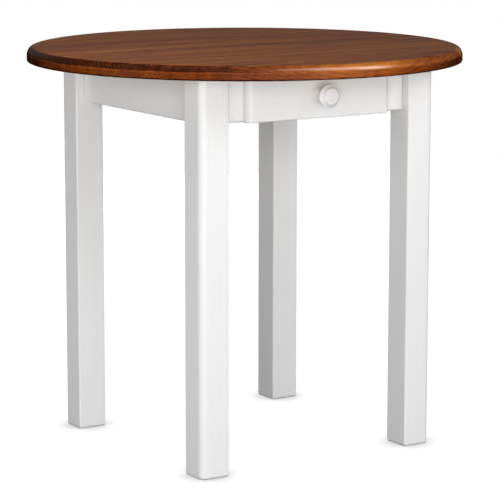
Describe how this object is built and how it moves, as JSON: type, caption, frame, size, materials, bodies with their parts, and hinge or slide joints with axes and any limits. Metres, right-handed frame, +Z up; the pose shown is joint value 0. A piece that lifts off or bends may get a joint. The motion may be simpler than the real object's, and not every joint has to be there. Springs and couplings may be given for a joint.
{
  "type": "round dining table with drawer",
  "caption": "Round wooden dining table with a stained top on straight square painted legs, and a front drawer that slides out by its turned knob.",
  "frame": {"origin": "on the floor, under the middle of the round top", "axes": "+Z up, -Y towards someone who faces the drawer, +X to that person's right"},
  "size_m": [0.85, 0.85, 0.78],
  "materials": {
    "stained_top": "reddish-brown stain under satin lacquer",
    "white_paint": "satin white paint on wood",
    "bare_pine": "planed, bare",
    "plywood": "sanded, bare",
    "zinc_steel": "bright zinc plate"
  },
  "bodies": {
    "frame": {"top_board_1": "stained_top", "top_board_2": "stained_top", "top_board_3": "stained_top", "top_board_4": "stained_top", "top_board_5": "stained_top", "top_board_6": "stained_top", "top_board_7": "stained_top", "leg_front_left": "white_paint", "leg_front_right": "white_paint", "leg_back_left": "white_paint", "leg_back_right": "white_paint", "apron_front": "white_paint", "apron_back": "white_paint", "apron_left": "white_paint", "apron_right": "white_paint", "corner_block_front_left": "bare_pine", "corner_block_front_right": "bare_pine", "corner_block_back_left": "bare_pine", "corner_block_back_right": "bare_pine", "drawer_runner_left": "bare_pine", "drawer_runner_right": "bare_pine", "drawer_kicker_left": "bare_pine", "drawer_kicker_right": "bare_pine", "apron_dowels": "bare_pine", "corner_block_screws": "zinc_steel", "leg_bolts": "zinc_steel", "leg_washers": "zinc_steel", "leg_nuts": "zinc_steel", "top_brackets": "zinc_steel", "bracket_screws": "zinc_steel", "kicker_screws": "zinc_steel"},
    "drawer": {"drawer_front": "white_paint", "drawer_box_front": "bare_pine", "drawer_side_left": "bare_pine", "drawer_side_right": "bare_pine", "drawer_back": "bare_pine", "drawer_bottom": "plywood", "drawer_box_pins": "bare_pine", "drawer_front_screws": "zinc_steel", "drawer_knob": "white_paint", "knob_screw": "zinc_steel"}
  },
  "joints": [
    {"name": "drawer_slide", "type": "slide", "parent": "frame", "child": "drawer", "axis": [0, -1, 0], "range_m": [0, 0.27]}
  ]
}
